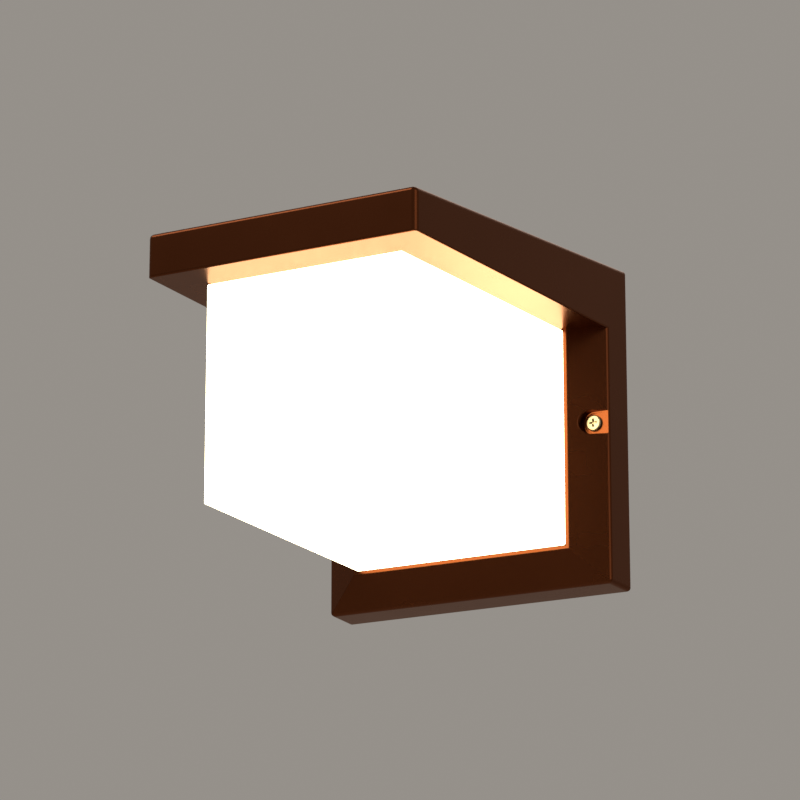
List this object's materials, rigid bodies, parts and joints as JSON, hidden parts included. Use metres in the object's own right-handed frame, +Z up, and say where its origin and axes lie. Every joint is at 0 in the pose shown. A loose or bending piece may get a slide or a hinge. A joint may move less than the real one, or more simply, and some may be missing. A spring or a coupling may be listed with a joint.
{
  "type": "outdoor wall lantern",
  "caption": "Outdoor wall lantern: a square back plate with a projecting flat canopy over an opal box diffuser, lit by a screw-in lamp and held by front screws.",
  "frame": {"origin": "centre of the mounting base's back face, on the wall plane", "axes": "+Z up, +Y into the wall, so the lantern stands out along -Y; +X to the right for someone facing the lantern"},
  "size_m": [0.202, 0.254, 0.2073],
  "materials": {
    "housing_paint": "dark coffee-brown semi-gloss paint on cast aluminium",
    "opal_acrylic": "opal white acrylic, lit from inside",
    "silicone": "pale silicone rubber",
    "black_rubber": "black rubber",
    "raw_aluminium": "unpainted die-cast aluminium",
    "led_board": "white-coated aluminium board",
    "porcelain": "glazed white porcelain",
    "brass": "bright brass",
    "nylon": "natural nylon",
    "black_glass": "black insulating glass",
    "nickel_plate": "nickel-plated lamp cap",
    "lamp_plastic": "white heat-conducting plastic",
    "opal_globe": "opal polycarbonate globe, lit from inside",
    "live_insulation": "brown silicone insulation",
    "neutral_insulation": "blue silicone insulation",
    "earth_insulation": "green and yellow silicone insulation",
    "stainless_screw": "stainless steel pan-head screw",
    "zinc_steel": "zinc-plated steel"
  },
  "bodies": {
    "wall_base": {"mounting_base": "raw_aluminium", "perimeter_seal": "black_rubber", "cable_grommet": "black_rubber", "terminal_block": "nylon", "terminal_insert_1": "brass", "terminal_insert_2": "brass", "terminal_insert_3": "brass", "terminal_screw_1": "zinc_steel", "terminal_screw_2": "zinc_steel", "terminal_screw_3": "zinc_steel", "terminal_screw_4": "zinc_steel", "terminal_screw_5": "zinc_steel", "terminal_screw_6": "zinc_steel", "terminal_block_screw": "zinc_steel", "earth_screw": "zinc_steel", "earth_tongue": "brass", "live_lead": "live_insulation", "neutral_lead": "neutral_insulation", "earth_lead": "earth_insulation", "lampholder_body": "porcelain", "lampholder_shell": "brass", "lampholder_contact": "brass", "lampholder_screw_left": "zinc_steel", "lampholder_terminal_left": "brass", "lampholder_terminal_screw_left": "zinc_steel", "lampholder_screw_right": "zinc_steel", "lampholder_terminal_right": "brass", "lampholder_terminal_screw_right": "zinc_steel"},
    "cover": {"housing": "housing_paint", "diffuser": "opal_acrylic", "diffuser_gasket": "silicone", "diffuser_screw_1": "zinc_steel", "diffuser_screw_2": "zinc_steel", "diffuser_screw_3": "zinc_steel", "diffuser_screw_4": "zinc_steel", "diffuser_washer_1": "zinc_steel", "diffuser_washer_2": "zinc_steel", "diffuser_washer_3": "zinc_steel", "diffuser_washer_4": "zinc_steel"},
    "left_fixing": {"fixing_screw_left": "stainless_screw", "retaining_washer_left": "nylon"},
    "right_fixing": {"fixing_screw_right": "stainless_screw", "retaining_washer_right": "nylon"},
    "lamp": {"lamp_contact": "brass", "lamp_insulator": "black_glass", "lamp_cap": "nickel_plate", "lamp_body": "lamp_plastic", "lamp_led_board": "led_board", "lamp_globe": "opal_globe"}
  },
  "joints": [
    {"name": "cover_pull_off", "type": "slide", "parent": "wall_base", "child": "cover", "axis": [0, -1, 0], "range_m": [0, 0.16]},
    {"name": "fixing_screw_left_out", "type": "slide", "parent": "cover", "child": "left_fixing", "axis": [0, -1, 0], "range_m": [0, 0.0079]},
    {"name": "fixing_screw_right_out", "type": "slide", "parent": "cover", "child": "right_fixing", "axis": [0, -1, 0], "range_m": [0, 0.0079]},
    {"name": "lamp_out", "type": "slide", "parent": "wall_base", "child": "lamp", "axis": [0, -1, 0], "range_m": [0, 0.026]}
  ]
}
